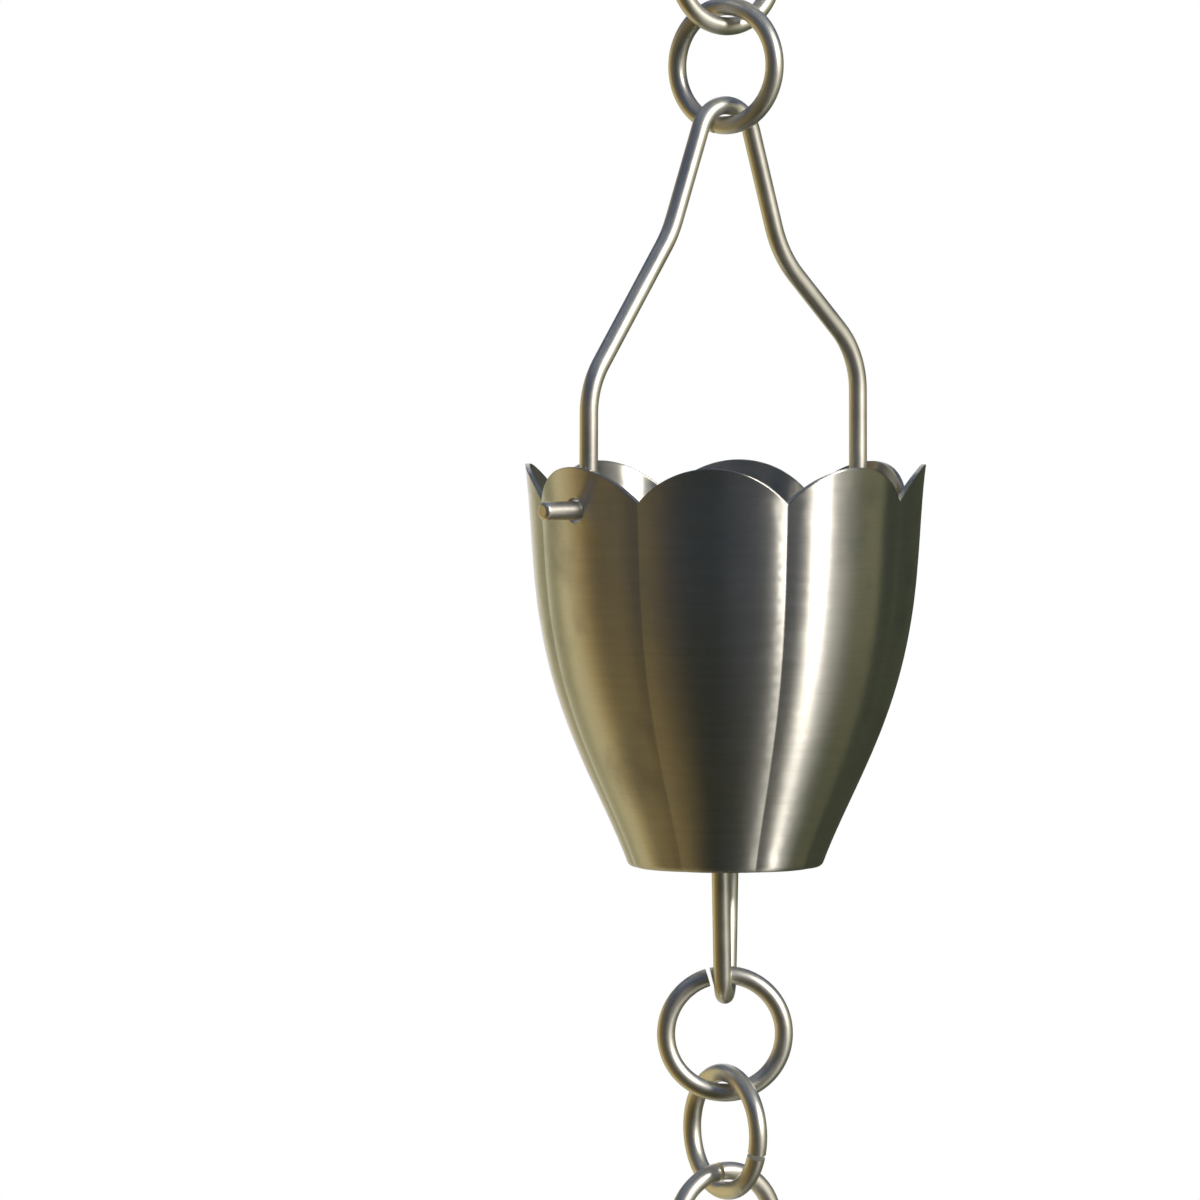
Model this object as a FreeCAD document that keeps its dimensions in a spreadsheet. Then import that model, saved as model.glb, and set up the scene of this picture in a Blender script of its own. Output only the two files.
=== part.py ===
import FreeCAD, Part
import math
import os
import Sketcher

# A rain chain: three fluted cups of sheet steel, each hung on a bail of bent wire and carrying
# a V-shaped drop hook, joined by butted wire rings. Millimetres, +Z up. The origin is the point
# where the hanging ring bears on its hook, and the chain hangs down from it.

SIZES = {
    # Wire, rings and the room between linked wires
    "wire_diameter": 3.2,
    "ring_radius": 10.4,
    "seam_gap": 0.7,
    "link_gap": 0.3,
    # Cup: petal radius at five levels, from the base to the rim, and the rise between them
    "petals": 8,
    "sheet_thickness": 0.8,
    "base_radius": 17.0,
    "flare_radius": 24.9,
    "belly_radius": 30.7,
    "shoulder_radius": 33.6,
    "rim_radius": 35.2,
    "flare_rise": 18.0,
    "belly_rise": 16.0,
    "shoulder_rise": 17.0,
    "rim_rise": 19.7,
    "base_flute": 0.4,
    "rim_flute": 0.8,
    "scallop_depth": 6.4,
    "base_bend": 1.3,
    "drain_radius": 11.3,
    "pin_below_tip": 7.5,
    "pin_clearance": 0.6,
    # Bail: half widths and heights above its pins
    "bail_height": 70.3,
    "bail_apex_bend": 6.2,
    "bail_neck_reach": 12.8,
    "bail_neck_height": 45.9,
    "bail_neck_bend": 20.0,
    "bail_shoulder_reach": 31.2,
    "bail_shoulder_height": 24.0,
    "bail_shoulder_bend": 15.0,
    "bail_leg_inset": 2.3,
    "bail_pin_bend": 3.2,
    "long_pin_out": 6.5,
    "short_pin_out": 6.0,
    "wire_end_round": 0.7,
    # Drop hook
    "hook_drop": 22.7,
    "hook_tip_bend": 4.2,
    "hook_hip_reach": 7.9,
    "hook_hip_bend": 3.2,
    "hook_foot_clearance": 0.6,
}

# How each piece hangs in the photograph: its heading in degrees about the vertical, and for a
# ring the place of its seam, in degrees up from the heading
RINGS = {
    "hanging_ring": (0, 200),
    "top_link_ring": (-68, 25),
    "link_ring_1_upper": (-70, 200),
    "link_ring_1_middle": (35, 150),
    "link_ring_1_lower": (-36, 262),
    "link_ring_2_upper": (3, 107),
    "link_ring_2_middle": (-57, -16),
    "link_ring_2_lower": (33, 100),
    "tail_ring": (0, 215),
}
BAIL_HEADING = {1: 10, 2: 40, 3: 144}
HOOK_HEADING = {1: 12, 2: 83, 3: 88}
# How much lower the hand-bent shoulder and neck are on the side of the long pin
SHOULDER_SKEW = {1: -2.8, 2: 5.2, 3: 0}
NECK_SKEW = {1: 0, 2: -3.6, 3: 0}

CUP_HEIGHT = "(sheet.flare_rise + sheet.belly_rise + sheet.shoulder_rise + sheet.rim_rise)"
PIN_HEIGHT = f"({CUP_HEIGHT} - sheet.pin_below_tip)"
LINK_STEP = "(sheet.wire_diameter + sheet.link_gap)"
HALF_PETAL = "(180 / sheet.petals)"
WIRE_RADIUS = "(sheet.wire_diameter / 2)"
FOOT_HEIGHT = f"(sheet.sheet_thickness + sheet.link_gap + {WIRE_RADIUS})"

doc = FreeCAD.newDocument("rain_chain")


def make_sheet():
    sheet = doc.addObject("Spreadsheet::Sheet", "sheet")
    for row, (name, value) in enumerate(SIZES.items(), 1):
        sheet.set(f"A{row}", name)
        sheet.set(f"B{row}", str(value))
        sheet.setAlias(f"B{row}", name)
    doc.recompute()


def size(expression):
    return float(doc.sheet.evalExpression(expression))


def new_sketch(body, name, plane_role, offset=None):
    sketch = body.newObject("Sketcher::SketchObject", f"{body.Name}_{name}")
    plane = next(f for f in body.Origin.OriginFeatures if f.Role == plane_role)
    sketch.AttachmentSupport = [(plane, "")]
    sketch.MapMode = "FlatFace"
    if offset:
        sketch.setExpression("AttachmentOffset.Base.z", offset)
    return sketch


def bind(sketch, expression, *constraint):
    value = size(expression)
    if constraint[0] == "Angle":
        value = math.radians(value)
    index = sketch.addConstraint(Sketcher.Constraint(*constraint, value))
    sketch.renameConstraint(index, f"size_{index}")
    sketch.setExpression(f"Constraints.size_{index}", expression)


def circle(sketch, radius, across=None, up=None):
    """A circle at the sketch's origin, or at (across, up) where they are given."""
    centre = FreeCAD.Vector(size(across or "0"), size(up or "0"), 0)
    shape = sketch.addGeometry(Part.Circle(centre, FreeCAD.Vector(0, 0, 1), size(radius)))
    bind(sketch, radius, "Radius", shape)
    if across is None and up is None:
        sketch.addConstraint(Sketcher.Constraint("Coincident", shape, 3, -1, 1))
        return
    bind(sketch, across or "0", "DistanceX", -1, 1, shape, 3)
    bind(sketch, up or "0", "DistanceY", -1, 1, shape, 3)


def arc_on(sketch, centre, radius, low, high):
    """An arc of a circle from angle low to angle high, in degrees, counterclockwise."""
    round_shape = Part.Circle(FreeCAD.Vector(*centre, 0), FreeCAD.Vector(0, 0, 1), radius)
    return sketch.addGeometry(Part.ArcOfCircle(round_shape, math.radians(low), math.radians(high)))


def line(sketch, start, end):
    return sketch.addGeometry(Part.LineSegment(FreeCAD.Vector(*start, 0), FreeCAD.Vector(*end, 0)))


def join(sketch, first, first_end, second, second_end, kind="Coincident"):
    sketch.addConstraint(Sketcher.Constraint(kind, first, first_end, second, second_end))


def petal_section(body, name, height, tip_radius):
    """One petal's wall at a level: two concentric arcs between the creases on either side."""
    depth = f"(sheet.base_flute + (sheet.rim_flute - sheet.base_flute) * {height} / {CUP_HEIGHT})"
    crease = f"({tip_radius} - {depth})"
    reach = f"({crease} * sin({HALF_PETAL}))"
    bulge = f"({tip_radius} - {crease} * cos({HALF_PETAL}))"
    outer = f"(({reach}^2 + {bulge}^2) / (2 * {bulge}))"
    inner = f"({outer} - sheet.sheet_thickness)"
    centre = f"({tip_radius} - {outer})"

    sketch = new_sketch(body, name, "XY_Plane", height)
    middle = size(centre)
    side = math.radians(size(HALF_PETAL))
    arcs = []
    ends = []
    for radius in (outer, inner):
        # The wall ends where the arc meets the radial plane of the crease
        along = middle * math.cos(side)
        distance = along + math.sqrt(along**2 - middle**2 + size(radius)**2)
        end = (distance * math.cos(side), distance * math.sin(side))
        half_angle = math.degrees(math.atan2(end[1], end[0] - middle))
        arcs.append(arc_on(sketch, (middle, 0), size(radius), -half_angle, half_angle))
        ends.append(end)
        bind(sketch, radius, "Radius", arcs[-1])
    join(sketch, arcs[0], 3, arcs[1], 3)
    sketch.addConstraint(Sketcher.Constraint("PointOnObject", arcs[0], 3, -1))
    bind(sketch, centre, "DistanceX", -1, 1, arcs[0], 3)
    for sign, arc_end in ((-1, 1), (1, 2)):
        crease_line = line(sketch, *((x, sign * y) for x, y in reversed(ends)))
        join(sketch, crease_line, 1, arcs[1], arc_end)
        join(sketch, crease_line, 2, arcs[0], arc_end)
        sketch.addConstraint(Sketcher.Constraint("PointOnObject", -1, 1, crease_line))
        bind(sketch, f"{sign} * {HALF_PETAL}", "Angle", crease_line)
    return sketch


def scallop_section(body):
    """What is trimmed off above the round top of a petal."""
    crease = "(sheet.rim_radius - sheet.rim_flute)"
    reach = f"({crease} * sin({HALF_PETAL}))"
    radius = f"(({reach}^2 + sheet.scallop_depth^2) / (2 * sheet.scallop_depth))"
    margin = "sheet.sheet_thickness"
    side = f"({reach} + {margin})"

    sketch = new_sketch(body, "scallop", "YZ_Plane")
    low = size(CUP_HEIGHT) - size(radius)
    half_width = size(side)
    top = size(f"{CUP_HEIGHT} + {margin}")
    spread = math.degrees(math.asin(half_width / size(radius)))
    arch = arc_on(sketch, (0, low), size(radius), 90 - spread, 90 + spread)
    arch_end = low + math.sqrt(size(radius)**2 - half_width**2)
    left = line(sketch, (-half_width, arch_end), (-half_width, top))
    over = line(sketch, (-half_width, top), (half_width, top))
    right = line(sketch, (half_width, top), (half_width, arch_end))
    join(sketch, arch, 2, left, 1)
    join(sketch, left, 2, over, 1)
    join(sketch, over, 2, right, 1)
    join(sketch, right, 2, arch, 1)
    for edge, kind in ((left, "Vertical"), (over, "Horizontal"), (right, "Vertical")):
        sketch.addConstraint(Sketcher.Constraint(kind, edge))
    sketch.addConstraint(Sketcher.Constraint("PointOnObject", arch, 3, -2))
    bind(sketch, radius, "Radius", arch)
    bind(sketch, f"{CUP_HEIGHT} - {radius}", "DistanceY", -1, 1, arch, 3)
    bind(sketch, side, "DistanceX", -1, 1, right, 1)
    bind(sketch, f"-{side}", "DistanceX", -1, 1, left, 1)
    bind(sketch, f"{CUP_HEIGHT} + {margin}", "DistanceY", -1, 1, right, 1)
    return sketch


def cut_through(body, name, sketch):
    pocket = body.newObject("PartDesign::Pocket", f"{body.Name}_{name}")
    pocket.Profile = sketch
    pocket.Type = "ThroughAll"
    pocket.Midplane = True
    return pocket


def round_off(body, name, feature, edges, radius):
    """Round the given edges of a feature, and make that the body's result."""
    names = [f"Edge{number}" for number, edge in enumerate(feature.Shape.Edges, 1)
             if any(edge.isSame(wanted) for wanted in edges)]
    fillet = body.newObject("PartDesign::Fillet", f"{body.Name}_{name}")
    fillet.Base = (feature, names)
    fillet.setExpression("Radius", radius)
    body.Tip = fillet


def make_cup(name):
    """A cup of one sheet: eight petals, a flat base flange round the drain and two pin holes."""
    body = doc.addObject("PartDesign::Body", name)
    levels = [("base", "0", "sheet.base_radius")]
    height = "0"
    for level in ("flare", "belly", "shoulder", "rim"):
        height = f"({height} + sheet.{level}_rise)"
        levels.append((level, height, f"sheet.{level}_radius"))
    sections = [petal_section(body, *level) for level in levels]

    petal = body.newObject("PartDesign::AdditiveLoft", f"{name}_petal")
    petal.Profile = sections[0]
    petal.Sections = sections[1:]
    cut_through(body, "petal_top", scallop_section(body))
    doc.recompute()

    petals = body.newObject("PartDesign::PolarPattern", f"{name}_petals")
    petals.TransformMode = "Whole shape"
    petals.Axis = (next(f for f in body.Origin.OriginFeatures if f.Role == "Z_Axis"), [""])
    petals.Angle = 360
    petals.setExpression("Occurrences", "sheet.petals")
    body.Tip = petals

    flange_sketch = new_sketch(body, "flange_outline", "XY_Plane")
    circle(flange_sketch, "sheet.base_radius - sheet.base_flute - sheet.sheet_thickness / 2")
    circle(flange_sketch, "sheet.drain_radius")
    flange = body.newObject("PartDesign::Pad", f"{name}_flange")
    flange.Profile = flange_sketch
    flange.setExpression("Length", "sheet.sheet_thickness")

    hole_sketch = new_sketch(body, "pin_hole", "YZ_Plane")
    circle(hole_sketch, f"{WIRE_RADIUS} + sheet.pin_clearance", "0", PIN_HEIGHT)
    holes = cut_through(body, "pin_holes", hole_sketch)
    doc.recompute()

    flat_faces = [face for face in holes.Shape.Faces if face.Surface.TypeId == "Part::GeomPlane"]
    underside = min(flat_faces, key=lambda face: face.CenterOfMass.z)
    round_off(body, "base_bend", holes, underside.OuterWire.Edges, "sheet.base_bend")
    return body


def turned(vector, degrees):
    angle = math.radians(degrees)
    return (vector[0] * math.cos(angle) - vector[1] * math.sin(angle),
            vector[0] * math.sin(angle) + vector[1] * math.cos(angle))


def toward(start, end):
    length = math.dist(start, end)
    return ((end[0] - start[0]) / length, (end[1] - start[1]) / length)


def crossing(first, first_way, second, second_way):
    """Where two straight runs meet, each given by a point and a direction."""
    cross = first_way[0] * second_way[1] - first_way[1] * second_way[0]
    gap = (second[0] - first[0], second[1] - first[1])
    step = (gap[0] * second_way[1] - gap[1] * second_way[0]) / cross
    return (first[0] + step * first_way[0], first[1] + step * first_way[1])


def eye_corner(before, centre, radius, after):
    """The corner of the two runs that pass round an eye of this centre and radius."""
    ways = []
    for point, side in ((before, 1), (after, -1)):
        way = toward(point, centre)
        lean = math.degrees(math.asin(radius / math.dist(point, centre)))
        ways.append((way, side * lean))
    first, second = (turned(way, lean) for way, lean in ways)
    if centre[1] < before[1]:
        first, second = (turned(way, -lean) for way, lean in ways)
    return crossing(before, first, after, second)


def wire_path(sketch, start, bends, end):
    """Straight runs joined by tangent bends. A bend is (across, up, radius, kind), where the
    place is the corner of its two runs, or for the kind "eye" the centre of the bend."""
    def place(across, up):
        return (size(across), size(up))

    points = [place(*start)] + [place(*bend[:2]) for bend in bends] + [place(*end)]
    for number, bend in enumerate(bends, 1):
        if bend[3] == "eye":
            points[number] = eye_corner(points[number - 1], points[number], size(bend[2]),
                                        points[number + 1])

    arcs = []
    run_ends = [points[0]]
    for number, bend in enumerate(bends, 1):
        back = toward(points[number], points[number - 1])
        ahead = toward(points[number], points[number + 1])
        radius = size(bend[2])
        half_corner = math.acos(back[0] * ahead[0] + back[1] * ahead[1]) / 2
        tangent = radius / math.tan(half_corner)
        bisector = toward((0, 0), (back[0] + ahead[0], back[1] + ahead[1]))
        centre = tuple(points[number][i] + bisector[i] * radius / math.sin(half_corner) for i in (0, 1))
        first = tuple(points[number][i] + back[i] * tangent for i in (0, 1))
        last = tuple(points[number][i] + ahead[i] * tangent for i in (0, 1))
        clockwise = back[0] * ahead[1] - back[1] * ahead[0] > 0
        angles = [math.degrees(math.atan2(p[1] - centre[1], p[0] - centre[0])) for p in (first, last)]
        if clockwise:
            angles.reverse()
        if angles[1] < angles[0]:
            angles[1] += 360
        arcs.append((arc_on(sketch, centre, radius, *angles), 2 if clockwise else 1))
        run_ends += [first, last]
    run_ends.append(points[-1])

    runs = [line(sketch, run_ends[i], run_ends[i + 1]) for i in range(0, len(run_ends), 2)]
    for number, (arc, entry) in enumerate(arcs):
        join(sketch, runs[number], 2, arc, entry, "Tangent")
        join(sketch, arc, 3 - entry, runs[number + 1], 1, "Tangent")
        across, up, radius, kind = bends[number]
        bind(sketch, radius, "Radius", arc)
        held, held_end = arc, 3
        if kind != "eye":
            held, held_end = sketch.addGeometry(Part.Point(FreeCAD.Vector(*points[number + 1], 0)), True), 1
            for run in (runs[number], runs[number + 1]):
                sketch.addConstraint(Sketcher.Constraint("PointOnObject", held, 1, run))
        bind(sketch, across, "DistanceX", -1, 1, held, held_end)
        bind(sketch, up, "DistanceY", -1, 1, held, held_end)
    for run, run_end, (across, up) in ((runs[0], 1, start), (runs[-1], 2, end)):
        bind(sketch, across, "DistanceX", -1, 1, run, run_end)
        bind(sketch, up, "DistanceY", -1, 1, run, run_end)


def make_wire(name, start, bends, end):
    """Round wire bent in the plane of X and Z, both ends along X and rounded off."""
    body = doc.addObject("PartDesign::Body", name)
    path = new_sketch(body, "path", "XZ_Plane")
    wire_path(path, start, bends, end)
    section = new_sketch(body, "section", "YZ_Plane", start[0])
    circle(section, WIRE_RADIUS, "0", start[1])
    wire = body.newObject("PartDesign::AdditivePipe", f"{name}_wire")
    wire.Profile = section
    wire.Spine = (path, [""])
    doc.recompute()
    tips = [FreeCAD.Vector(size(across), 0, size(up)) for across, up in (start, end)]
    near = size("sheet.wire_end_round")
    rims = [edge for edge in wire.Shape.Edges
            if any(edge.CenterOfMass.distanceToPoint(tip) < near for tip in tips)]
    round_off(body, "ends", wire, rims, "sheet.wire_end_round")
    return body


def make_bail(number):
    """A bottle-shaped bail. Its own origin is on the axis of its pins."""
    wall = "sheet.shoulder_radius"
    leg = f"({wall} - sheet.bail_leg_inset)"
    shoulders = [f"(sheet.bail_shoulder_height {side} {SHOULDER_SKEW[number]} / 2)" for side in "-+"]
    necks = [f"(sheet.bail_neck_height {side} {NECK_SKEW[number]} / 2)" for side in "-+"]
    bends = [
        (f"-{leg}", "0", "sheet.bail_pin_bend", "corner"),
        ("-sheet.bail_shoulder_reach", shoulders[0], "sheet.bail_shoulder_bend", "corner"),
        ("-sheet.bail_neck_reach", necks[0], "sheet.bail_neck_bend", "corner"),
        ("0", "sheet.bail_height - sheet.bail_apex_bend", "sheet.bail_apex_bend", "eye"),
        ("sheet.bail_neck_reach", necks[1], "sheet.bail_neck_bend", "corner"),
        ("sheet.bail_shoulder_reach", shoulders[1], "sheet.bail_shoulder_bend", "corner"),
        (leg, "0", "sheet.bail_pin_bend", "corner"),
    ]
    start = ("-(sheet.rim_radius + sheet.long_pin_out)", "0")
    end = ("sheet.rim_radius + sheet.short_pin_out", "0")
    return make_wire(f"bail_{number}", start, bends, end)


def make_hook(number):
    """A V of wire on two feet. Its own origin is on the underside of the cup's base flange."""
    inner_wall = "(sheet.base_radius - sheet.base_flute - sheet.sheet_thickness)"
    foot = f"({inner_wall} - sheet.hook_foot_clearance)"
    bends = [
        ("-sheet.hook_hip_reach", FOOT_HEIGHT, "sheet.hook_hip_bend", "corner"),
        ("0", "sheet.hook_tip_bend - sheet.hook_drop", "sheet.hook_tip_bend", "eye"),
        ("sheet.hook_hip_reach", FOOT_HEIGHT, "sheet.hook_hip_bend", "corner"),
    ]
    return make_wire(f"drop_hook_{number}", (f"-{foot}", FOOT_HEIGHT), bends, (foot, FOOT_HEIGHT))


def make_ring(name):
    """A butted ring, its seam left open by a narrow gap."""
    ring = doc.addObject("Part::Torus", name)
    ring.setExpression("Radius1", "sheet.ring_radius")
    ring.setExpression("Radius2", WIRE_RADIUS)
    ring.setExpression("Angle3", "360 deg - 2 * asin(sheet.seam_gap / 2 / sheet.ring_radius)")
    return ring


def hang(piece, heading, height, stand=None):
    """Turn a piece to its heading and bind its height to what it hangs from."""
    turn = FreeCAD.Rotation(FreeCAD.Vector(0, 0, 1), heading)
    piece.Placement = FreeCAD.Placement(FreeCAD.Vector(), turn * stand if stand else turn)
    piece.setExpression("Placement.Base.z", height)


def hang_ring(name, height):
    heading, seam = RINGS[name]
    upright = FreeCAD.Rotation(FreeCAD.Vector(1, 0, 0), 90)
    clocked = FreeCAD.Rotation(FreeCAD.Vector(0, 0, 1), seam)
    ring = make_ring(name)
    hang(ring, heading, height, upright * clocked)
    return ring


def height_of(name):
    return f"{name}.Placement.Base.z / 1mm"


def below_ring(name):
    """The height of the wire centre of a piece that hangs in a ring."""
    return f"{height_of(name)} - sheet.ring_radius + {LINK_STEP}"


def ring_run(names, height):
    """Rings one below the other, the first with its top wire at the given height."""
    rings = []
    for name in names:
        rings.append(hang_ring(name, f"{height} - sheet.ring_radius"))
        height = below_ring(name)
    return rings


def make_unit(number, height):
    """A bail with its apex at the given height, its cup, and the hook in the cup's drain."""
    bail = make_bail(number)
    hang(bail, BAIL_HEADING[number], f"{height} - sheet.bail_height")
    cup = make_cup(f"cup_{number}")
    hang(cup, BAIL_HEADING[number], f"{height_of(bail.Name)} - {PIN_HEIGHT}")
    hook = make_hook(number)
    hang(hook, HOOK_HEADING[number], height_of(cup.Name))
    return [bail, cup, hook]


def below_hook(number):
    return f"{height_of(f'drop_hook_{number}')} - sheet.hook_drop + {LINK_STEP}"


def make_chain():
    pieces = ring_run(["hanging_ring", "top_link_ring"], WIRE_RADIUS)
    last_ring = "top_link_ring"
    for number in (1, 2, 3):
        pieces += make_unit(number, below_ring(last_ring))
        names = [f"link_ring_{number}_{place}" for place in ("upper", "middle", "lower")]
        if number == 3:
            names = ["tail_ring"]
        pieces += ring_run(names, below_hook(number))
        last_ring = names[-1]
    return pieces


def check_and_write(pieces):
    for thing in doc.Objects:
        if "Invalid" in thing.State or "Error" in thing.State:
            raise RuntimeError(f"{thing.Name} failed: {thing.State}")
    for piece in pieces:
        if piece.Shape.isNull() or not piece.Shape.isValid() or len(piece.Shape.Solids) != 1:
            raise RuntimeError(f"{piece.Label} is not one valid solid")
    os.makedirs("parts", exist_ok=True)
    for piece in pieces:
        piece.Shape.exportStep(f"parts/{piece.Label}.step")


make_sheet()
chain = make_chain()
doc.recompute()
check_and_write(chain)
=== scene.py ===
"""Looks of the rain chain: brushed steel cups and drawn steel wire in a plain studio."""

import math

import bpy
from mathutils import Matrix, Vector


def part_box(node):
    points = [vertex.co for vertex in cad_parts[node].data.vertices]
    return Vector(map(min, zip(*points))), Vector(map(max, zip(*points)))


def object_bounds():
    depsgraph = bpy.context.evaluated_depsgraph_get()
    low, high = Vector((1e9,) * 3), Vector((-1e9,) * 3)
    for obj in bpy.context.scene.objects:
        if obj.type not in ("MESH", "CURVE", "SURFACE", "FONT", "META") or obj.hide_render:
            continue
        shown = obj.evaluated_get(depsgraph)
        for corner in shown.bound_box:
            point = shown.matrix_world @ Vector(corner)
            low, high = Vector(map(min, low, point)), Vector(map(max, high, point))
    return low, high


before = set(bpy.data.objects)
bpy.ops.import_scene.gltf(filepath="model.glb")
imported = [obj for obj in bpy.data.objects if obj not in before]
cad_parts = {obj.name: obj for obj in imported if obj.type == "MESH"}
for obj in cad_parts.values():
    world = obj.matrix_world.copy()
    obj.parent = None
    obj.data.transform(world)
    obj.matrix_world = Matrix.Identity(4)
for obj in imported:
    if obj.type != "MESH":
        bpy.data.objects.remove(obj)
CAD_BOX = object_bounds()

# All lengths are in metres, all angles in degrees.
MM = 0.001

CUP_NODES = [f"cup_{number}" for number in (1, 2, 3)]
MAIN_CUP = "cup_2"

# Brushed sheet of the cups: its two tones, its roughness from streak to streak, and what a wipe
# mark adds to that. A span is the part of a noise's range that is spread over the two ends.
SHEET_TONES = ((0.58, 0.565, 0.525), (0.66, 0.645, 0.60))
SHEET_ROUGHNESS = (0.34, 0.37)
WIPE_ROUGHNESS = (0.0, 0.14)
WIPE_SCALE = 80.0
WIPE_SPAN = (0.50, 0.72)
# Streaks: how often they break up round the cup, and how many lie in a millimetre of height
FINE_STREAKS = (5.0, 5.5)
BROAD_STREAKS = (1.6, 0.8)
BROAD_SPAN = (0.25, 0.75)
BOTH_STREAKS_SPAN = (0.6, 1.4)
BRUSHING_STRENGTH = 0.06
BRUSHING_DEPTH = 0.02 * MM
# Part of a turn that spreads the gloss across the brushing
GLOSS_TURN = 0.25
# How softly the cut edges of the sheet are shaded
EDGE_RADIUS = 0.4 * MM
EDGE_SAMPLES = 6

# Drawn wire of the rest: its two tones, its roughness from patch to patch, and a fine grain
WIRE_TONES = ((0.74, 0.715, 0.645), (0.84, 0.81, 0.735))
WIRE_ROUGHNESS = (0.38, 0.44)
GRAIN_ROUGHNESS = (-0.02, 0.02)
PATCH_SCALE = 160.0
GRAIN_SCALE = 1400.0
GRAIN_STRENGTH = 0.02
GRAIN_DEPTH = 0.02 * MM
PATCH_SPAN = (0.3, 0.7)

# The photograph's view: a close-up of the middle cup, nearly level with its rim
CAMERA_DISTANCE = 1.30
CAMERA_ABOVE_RIM = 31 * MM
VIEW_WIDTH = 210.5 * MM
AIM_ABOVE_BASE = 46.8 * MM
AIM_LEFT_OF_AXIS = 22 * MM
SENSOR_WIDTH = 36.0

# Studio
FLOOR_DROP = 45 * MM
FLOOR_RADIUS = 1.6
FLOOR_COLOUR = (0.80, 0.80, 0.79)
FLOOR_SHADE = 0.97
FLOOR_PATCH_SCALE = 3.0
FLOOR_ROUGHNESS = 0.7
DISC_SIDES = 96
WHITE = (1, 1, 1, 1)
FILL_LEVEL = 0.45
# The lamp stands for a low sun on the right, at an azimuth from the camera
SUN_AZIMUTH = 53
SUN_ELEVATION = 24
SUN_DISTANCE = 4.5
SUN_SIZE = 0.95
SUN_RADIANCE = 58.0
SUN_COLOUR = (1.0, 0.955, 0.87)

# Painted flats round the set, which glow in their colours and which only reflections see, so that the metal
# shows painted reflections of them. Each has a row of colours by azimuth,
# measured from the camera towards its right, for its wall and another for the ground before it.
# The colours run into each other, and up into the sky's. The sun shines in between the flats.
CREAM = (0.95, 0.90, 0.75)
SAND = (0.90, 0.78, 0.45)
OLIVE = (0.38, 0.36, 0.20)
BROWN = (0.46, 0.31, 0.09)
CLAY = (0.26, 0.18, 0.06)
BARK = (0.14, 0.10, 0.04)
MOSS = (0.16, 0.14, 0.07)
SOIL = (0.04, 0.04, 0.02)
CHARCOAL = (0.04, 0.045, 0.04)
ASH = (0.14, 0.145, 0.165)
STONE = (0.56, 0.56, 0.45)
PINE = (0.07, 0.08, 0.05)
WALLS = {
    "left_flat": ((-168, CREAM), (-136, OLIVE), (-119, SAND), (-100, BROWN), (-86, BARK), (-64, MOSS),
                  (-38, CHARCOAL), (-8, CHARCOAL), (14, ASH), (42, ASH)),
    "right_flat": ((61, CREAM), (69, CREAM), (78, STONE), (88, OLIVE), (106, OLIVE), (118, PINE),
                   (174, PINE)),
}
GROUNDS = {
    "left_flat": ((-168, SAND), (-137, OLIVE), (-109, SAND), (-94, BROWN), (-82, BARK), (-64, CLAY),
                  (-48, BARK), (-32, SOIL), (41, SOIL), (54, CREAM)),
    "right_flat": ((66, STONE), (84, PINE), (174, PINE)),
}
# Glow colours of the flats' top and of the ceiling, seen only in reflections: painted reflections overhead
SKY = (0.03, 0.055, 0.13)
CEILING = (0.15, 0.19, 0.25)
# The flats' upright section: distance from the chain, height above the floor, and how many
# degrees further round the flat stands there
FLAT_SECTION = ((0.03, 0.01, 9), (0.50, 0.03, 9), (1.00, 0.20, 5), (1.45, 0.65, 0), (1.60, 1.20, 0),
                (1.50, 1.90, 0))
FLAT_STEP = 4
# Heights above the floor between which the ground turns into the wall and the wall into the sky
GROUND_TO_WALL = (0.02, 0.30)
WALL_TO_SKY = (0.60, 1.05)
CEILING_HEIGHT = 2.0
CEILING_RADIUS = 1.5


class Nodes:
    """A short way to build a node tree."""

    def __init__(self, owner):
        owner.use_nodes = True
        self.tree = owner.node_tree
        self.tree.nodes.clear()

    def add(self, kind, settings=None, **inputs):
        """A node with its settings, and its inputs linked to sockets or set to values. An input
        goes by its name, or by its number after an i."""
        node = self.tree.nodes.new(kind)
        for name, value in (settings or {}).items():
            setattr(node, name, value)
        for name, value in inputs.items():
            key = int(name[1:]) if name[0] == "i" and name[1:].isdigit() else name.replace("_", " ")
            self.feed(node.inputs[key], value)
        return node

    def feed(self, socket, value):
        if isinstance(value, bpy.types.NodeSocket):
            self.tree.links.new(value, socket)
        else:
            socket.default_value = value

    def math(self, operation, first, second=0.0):
        return self.add("ShaderNodeMath", {"operation": operation}, i0=first, i1=second).outputs[0]

    def remap(self, value, span, ends=(0.0, 1.0)):
        """The value with its span spread over the two ends, and held at them outside it."""
        node = self.add("ShaderNodeMapRange", None, Value=value, From_Min=span[0], From_Max=span[1],
                        To_Min=ends[0], To_Max=ends[1])
        return node.outputs["Result"]

    def noise(self, vector, scale, detail, roughness=0.5):
        node = self.add("ShaderNodeTexNoise", None, Vector=vector, Scale=scale, Detail=detail,
                        Roughness=roughness)
        return node.outputs["Fac"]

    def blend(self, factor, first, second):
        mix = self.add("ShaderNodeMix", {"data_type": "RGBA"}, i0=factor, i6=first, i7=second)
        return mix.outputs[2]

    def two_tone(self, factor, tones):
        dark, light = tones
        return self.blend(factor, (*dark, 1), (*light, 1))

    def place(self):
        return self.add("ShaderNodeTexCoord").outputs["Object"]

    def axes(self, vector):
        return self.add("ShaderNodeSeparateXYZ", None, Vector=vector).outputs

    def surface(self, shader):
        self.add("ShaderNodeOutputMaterial", None, Surface=shader.outputs[0])


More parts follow.
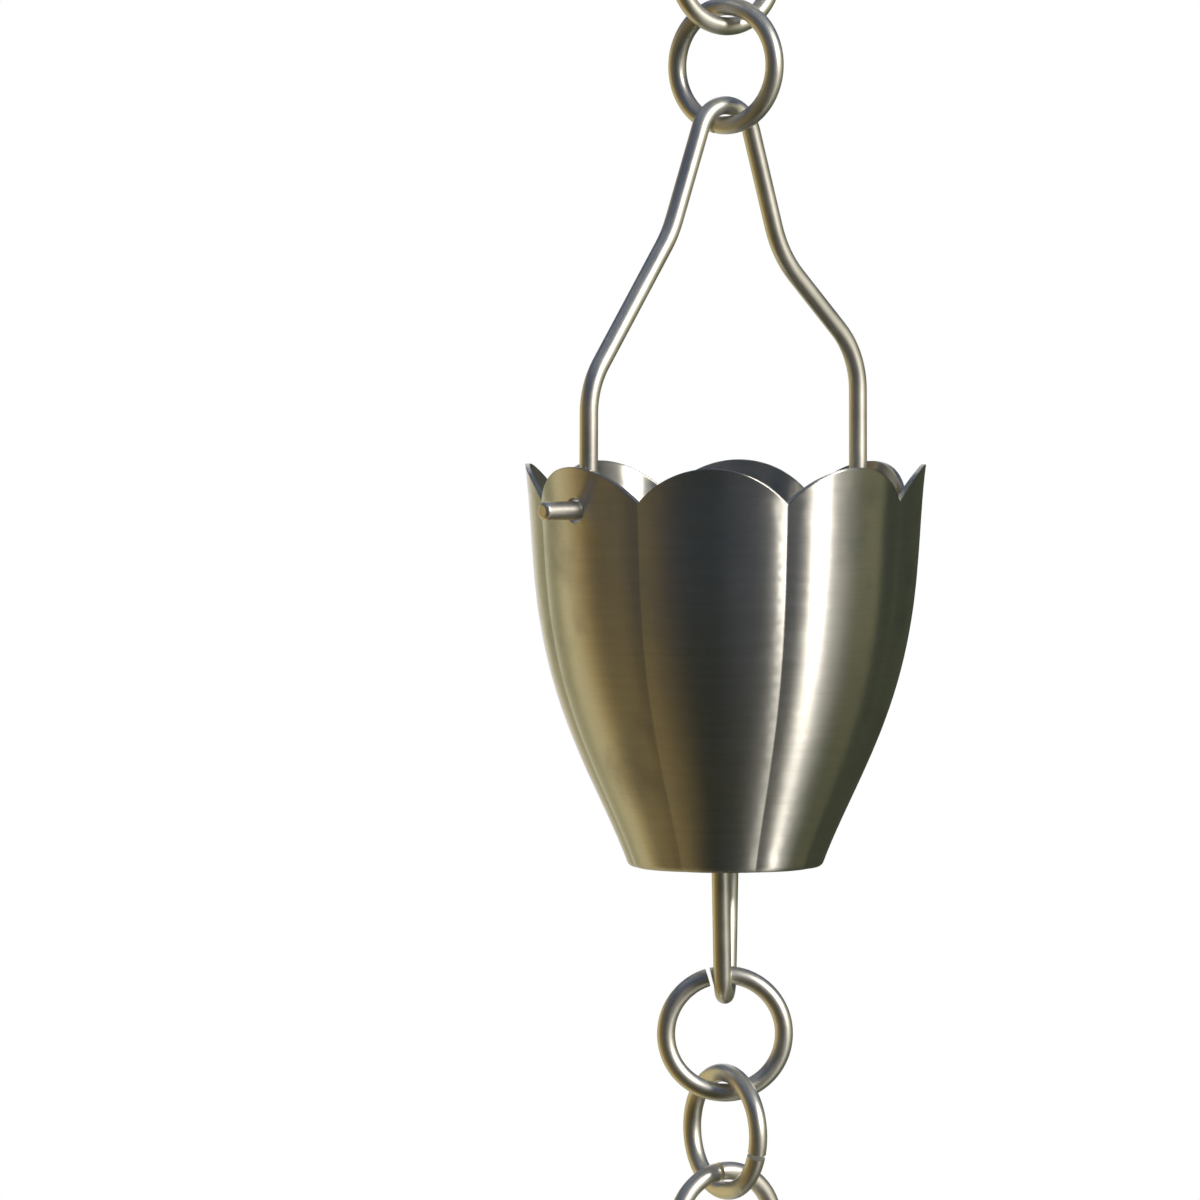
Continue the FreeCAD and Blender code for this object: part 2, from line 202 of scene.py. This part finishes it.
def brushed_space(nodes):
    """The way round a cup, and the height up its wall in millimetres."""
    axes = nodes.axes(nodes.place())
    flat = nodes.add("ShaderNodeCombineXYZ", None, X=axes["X"], Y=axes["Y"]).outputs[0]
    way = nodes.add("ShaderNodeVectorMath", {"operation": "NORMALIZE"}, i0=flat).outputs["Vector"]
    reach = nodes.add("ShaderNodeVectorMath", {"operation": "LENGTH"}, i0=flat).outputs["Value"]
    rise = nodes.math("MULTIPLY", nodes.math("ADD", axes["Z"], reach), 1 / MM)
    return nodes.axes(way), rise


def streaks(nodes, ways, rise, round_scale, lines_per_mm):
    """Noise that is drawn out into the level lines of the brushing: it changes slowly round a cup
    and fast up its wall."""
    across = [nodes.math("MULTIPLY", ways[axis], round_scale) for axis in ("X", "Y")]
    up = nodes.math("MULTIPLY", rise, lines_per_mm)
    space = nodes.add("ShaderNodeCombineXYZ", None, X=across[0], Y=across[1], Z=up).outputs[0]
    return nodes.noise(space, 1.0, detail=2.0)


def cup_steel():
    """Brushed stainless sheet: level brushing, broader streaks and faint wipe marks."""
    material = bpy.data.materials.new("cup_steel")
    nodes = Nodes(material)
    ways, rise = brushed_space(nodes)
    fine = streaks(nodes, ways, rise, *FINE_STREAKS)
    broad = streaks(nodes, ways, rise, *BROAD_STREAKS)
    smudge = nodes.noise(nodes.place(), WIPE_SCALE, detail=5.0, roughness=0.6)

    tone = nodes.remap(nodes.math("ADD", fine, broad), BOTH_STREAKS_SPAN)
    colour = nodes.two_tone(tone, SHEET_TONES)
    wiped = nodes.remap(smudge, WIPE_SPAN, WIPE_ROUGHNESS)
    polish = nodes.math("ADD", nodes.remap(broad, BROAD_SPAN, SHEET_ROUGHNESS), wiped)
    edges = nodes.add("ShaderNodeBevel", {"samples": EDGE_SAMPLES}, Radius=EDGE_RADIUS)
    relief = nodes.add("ShaderNodeBump", None, Strength=BRUSHING_STRENGTH, Distance=BRUSHING_DEPTH,
                       Height=fine, Normal=edges.outputs[0])
    around = nodes.add("ShaderNodeTangent", {"direction_type": "RADIAL", "axis": "Z"})
    shader = nodes.add("ShaderNodeBsdfPrincipled", None, Base_Color=colour, Metallic=1.0, Roughness=polish,
                       Anisotropic=1.0, Anisotropic_Rotation=GLOSS_TURN, Normal=relief.outputs[0],
                       Tangent=around.outputs[0])
    nodes.surface(shader)
    return material


def wire_steel():
    """Drawn stainless wire: smooth and brighter than the sheet, with small dull patches."""
    material = bpy.data.materials.new("wire_steel")
    nodes = Nodes(material)
    place = nodes.place()
    patches = nodes.noise(place, PATCH_SCALE, detail=4.0)
    grain = nodes.noise(place, GRAIN_SCALE, detail=2.0)

    colour = nodes.two_tone(nodes.remap(patches, PATCH_SPAN), WIRE_TONES)
    worn = nodes.remap(grain, PATCH_SPAN, GRAIN_ROUGHNESS)
    polish = nodes.math("ADD", nodes.remap(patches, PATCH_SPAN, WIRE_ROUGHNESS), worn)
    relief = nodes.add("ShaderNodeBump", None, Strength=GRAIN_STRENGTH, Distance=GRAIN_DEPTH, Height=grain)
    shader = nodes.add("ShaderNodeBsdfPrincipled", None, Base_Color=colour, Metallic=1.0, Roughness=polish,
                       Normal=relief.outputs[0])
    nodes.surface(shader)
    return material


def dress_nodes():
    cup, wire = cup_steel(), wire_steel()
    for name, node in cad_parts.items():
        node.data.materials.clear()
        node.data.materials.append(cup if name in CUP_NODES else wire)


def floor_height():
    return CAD_BOX[0].z - FLOOR_DROP


def round_the_chain(azimuth, distance, height):
    """A point by its azimuth from the camera towards its right."""
    angle = math.radians(azimuth)
    return Vector((distance * math.sin(angle), -distance * math.cos(angle), height))


def new_mesh(name, points, faces):
    """A piece of the stage."""
    mesh = bpy.data.meshes.new(name)
    mesh.from_pydata(points, [], faces)
    thing = bpy.data.objects.new(name, mesh)
    bpy.context.scene.collection.objects.link(thing)
    return thing


def new_disc(name, radius, height):
    rim = [round_the_chain(360 * side / DISC_SIDES, radius, height) for side in range(DISC_SIDES)]
    return new_mesh(name, rim, [tuple(range(DISC_SIDES))])


def make_floor():
    """A round pale floor a little way under the chain."""
    floor = new_disc("floor", FLOOR_RADIUS, floor_height())
    material = bpy.data.materials.new("floor_paint")
    nodes = Nodes(material)
    tone = nodes.remap(nodes.noise(nodes.place(), FLOOR_PATCH_SCALE, detail=4.0), PATCH_SPAN)
    darker = tuple(FLOOR_SHADE * channel for channel in FLOOR_COLOUR)
    colour = nodes.two_tone(tone, (darker, FLOOR_COLOUR))
    nodes.surface(nodes.add("ShaderNodeBsdfPrincipled", None, Base_Color=colour, Roughness=FLOOR_ROUGHNESS))
    floor.data.materials.append(material)


def new_glow(name):
    """A material that glows without being sampled as a lamp, and its nodes."""
    material = bpy.data.materials.new(name)
    material.cycles.emission_sampling = "NONE"
    return material, Nodes(material)


def show_to_gloss(flat, material):
    """Paint a flat, and leave it to reflections only."""
    flat.data.materials.append(material)
    flat.visible_camera = flat.visible_diffuse = flat.visible_shadow = False


def colour_row(nodes, azimuth, stops):
    """Colours that run into each other by azimuth."""
    first, last = stops[0][0], stops[-1][0]
    ramp = nodes.add("ShaderNodeValToRGB", None, Fac=nodes.remap(azimuth, (first, last)))
    ramp.color_ramp.interpolation = "EASE"
    elements = ramp.color_ramp.elements
    while len(elements) < len(stops):
        elements.new(0.5)
    for element, (stop, colour) in zip(elements, stops):
        element.position = (stop - first) / (last - first)
        element.color = (*colour, 1)
    return ramp.outputs["Color"]


def flat_paint(name):
    """Glow in the colours of ground, wall and sky."""
    material, nodes = new_glow(name)
    axes = nodes.axes(nodes.place())
    forward = nodes.math("MULTIPLY", axes["Y"], -1.0)
    azimuth = nodes.math("DEGREES", nodes.math("ARCTAN2", axes["X"], forward))
    height = nodes.math("SUBTRACT", axes["Z"], floor_height())
    ground, wall = (colour_row(nodes, azimuth, rows[name]) for rows in (GROUNDS, WALLS))
    lower = nodes.blend(nodes.remap(height, GROUND_TO_WALL), ground, wall)
    colour = nodes.blend(nodes.remap(height, WALL_TO_SKY), lower, (*SKY, 1))
    nodes.surface(nodes.add("ShaderNodeEmission", None, Color=colour))
    return material


def make_flat(name):
    first, last = WALLS[name][0][0], WALLS[name][-1][0]
    steps = round((last - first) / FLAT_STEP)
    points = []
    for step in range(steps + 1):
        for distance, rise, turn in FLAT_SECTION:
            azimuth = first + (last - first) * step / steps + turn
            points.append(round_the_chain(azimuth, distance, floor_height() + rise))
    row = len(FLAT_SECTION)
    faces = []
    for step in range(steps):
        for level in range(row - 1):
            near, far = step * row + level, (step + 1) * row + level
            faces.append((near, far, far + 1, near + 1))
    show_to_gloss(new_mesh(name, points, faces), flat_paint(name))


# A disc high over the set that glows in a slate blue and that only reflections see: a painted reflection
# overhead
def make_ceiling():
    material, nodes = new_glow("ceiling_paint")
    nodes.surface(nodes.add("ShaderNodeEmission", None, Color=(*CEILING, 1)))
    show_to_gloss(new_disc("ceiling", CEILING_RADIUS, floor_height() + CEILING_HEIGHT), material)


def make_sun():
    lamp = bpy.data.lights.new("sun", "AREA")
    lamp.size = SUN_SIZE
    lamp.energy = SUN_RADIANCE * math.pi * SUN_SIZE ** 2
    lamp.color = SUN_COLOUR
    light = bpy.data.objects.new("sun", lamp)
    target = sum(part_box(MAIN_CUP), Vector()) / 2
    rise = SUN_DISTANCE * math.tan(math.radians(SUN_ELEVATION))
    light.location = round_the_chain(SUN_AZIMUTH, SUN_DISTANCE, target.z + rise)
    light.rotation_euler = (target - light.location).to_track_quat("-Z", "Y").to_euler()
    light.visible_camera = False
    bpy.context.scene.collection.objects.link(light)


def make_world():
    """White for the camera and for what metal mirrors, and a softer fill for the rest."""
    world = bpy.data.worlds.new("studio")
    bpy.context.scene.world = world
    nodes = Nodes(world)
    ray = nodes.add("ShaderNodeLightPath").outputs
    mirrored = nodes.math("MAXIMUM", ray["Is Glossy Ray"], ray["Is Transmission Ray"])
    seen = nodes.math("MAXIMUM", ray["Is Camera Ray"], mirrored)
    fill = nodes.add("ShaderNodeBackground", None, Color=WHITE, Strength=FILL_LEVEL)
    white = nodes.add("ShaderNodeBackground", None, Color=WHITE, Strength=1.0)
    mix = nodes.add("ShaderNodeMixShader", None, i0=seen, i1=fill.outputs[0], i2=white.outputs[0])
    nodes.add("ShaderNodeOutputWorld", None, Surface=mix.outputs[0])


def make_camera():
    low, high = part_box(MAIN_CUP)
    camera = bpy.data.objects.new("camera", bpy.data.cameras.new("camera"))
    camera.data.sensor_width = SENSOR_WIDTH
    camera.data.lens = SENSOR_WIDTH * CAMERA_DISTANCE / VIEW_WIDTH
    aim = Vector((-AIM_LEFT_OF_AXIS, 0, low.z + AIM_ABOVE_BASE))
    camera.location = (aim.x, -CAMERA_DISTANCE, high.z + CAMERA_ABOVE_RIM)
    camera.rotation_euler = (aim - camera.location).to_track_quat("-Z", "Y").to_euler()
    bpy.context.scene.collection.objects.link(camera)
    bpy.context.scene.camera = camera


bpy.context.scene.view_settings.view_transform = "Standard"
dress_nodes()
make_floor()
for flat_name in WALLS:
    make_flat(flat_name)
make_ceiling()
make_sun()
make_world()
make_camera()
